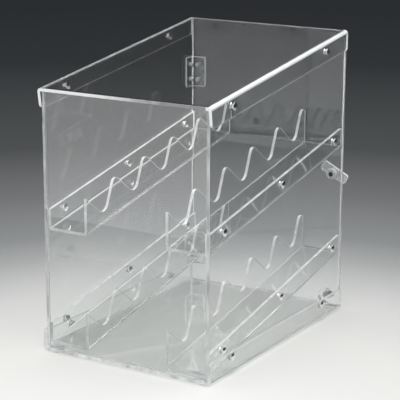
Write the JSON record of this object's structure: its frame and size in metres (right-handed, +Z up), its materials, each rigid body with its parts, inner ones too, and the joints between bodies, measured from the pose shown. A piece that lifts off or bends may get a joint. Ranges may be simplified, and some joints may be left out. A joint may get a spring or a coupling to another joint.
{
  "type": "countertop sandwich display case",
  "caption": "Clear acrylic two-tier countertop case with toothed rails for filled rolls, sloping top and hinged rear door with turn catch.",
  "frame": {"origin": "centre of the overall box, on the plane that the feet rest on", "axes": "+X to the viewer's right seen from the front, +Y to the rear door, +Z up"},
  "size_m": [0.2544, 0.3654, 0.3912],
  "materials": {
    "clear_sheet": "clear polished acrylic sheet",
    "clear_moulding": "clear moulded plastic",
    "bright_metal": "polished nickel plate",
    "screw_steel": "zinc plated steel",
    "dark_screw": "black oxide",
    "magnet_grey": "satin nickel, dark"
  },
  "bodies": {
    "case": {"base_tray": "clear_sheet", "top_cover": "clear_sheet", "left_side_panel": "clear_sheet", "right_side_panel": "clear_sheet", "front_panel": "clear_sheet", "upper_left_rail": "clear_sheet", "upper_right_rail": "clear_sheet", "lower_left_rail": "clear_sheet", "lower_right_rail": "clear_sheet", "upper_left_rail_barrel_nuts": "bright_metal", "upper_left_rail_screws": "bright_metal", "upper_right_rail_barrel_nuts": "bright_metal", "upper_right_rail_screws": "bright_metal", "lower_left_rail_barrel_nuts": "bright_metal", "lower_left_rail_screws": "bright_metal", "lower_right_rail_barrel_nuts": "bright_metal", "lower_right_rail_screws": "bright_metal", "cover_barrel_nuts": "bright_metal", "cover_screws": "bright_metal", "tray_barrel_nuts": "bright_metal", "tray_screws": "bright_metal", "upper_hinge_case_leaf": "clear_moulding", "lower_hinge_case_leaf": "clear_moulding", "magnet_holder": "clear_moulding", "feet": "clear_moulding", "upper_hinge_pin": "screw_steel", "lower_hinge_pin": "screw_steel", "hinge_case_screws": "screw_steel", "hinge_case_nuts": "screw_steel", "magnet": "magnet_grey"},
    "door": {"rear_door": "clear_sheet", "upper_hinge_door_leaf": "clear_moulding", "lower_hinge_door_leaf": "clear_moulding", "hinge_door_screws": "screw_steel", "hinge_door_nuts": "screw_steel", "door_keeper": "screw_steel"},
    "catch": {"catch_wing": "clear_moulding", "catch_boss": "clear_moulding", "catch_screw": "dark_screw"}
  },
  "joints": [
    {"name": "door_hinge", "type": "hinge", "parent": "case", "child": "door", "pos_m": [-0.124, 0.1787, 0.182], "axis": [0, 0, 1], "range_deg": [0, 180]},
    {"name": "catch_turn", "type": "hinge", "parent": "door", "child": "catch", "pos_m": [0.1045, 0.1737, 0.193], "axis": [0, 1, 0], "continuous": true}
  ]
}
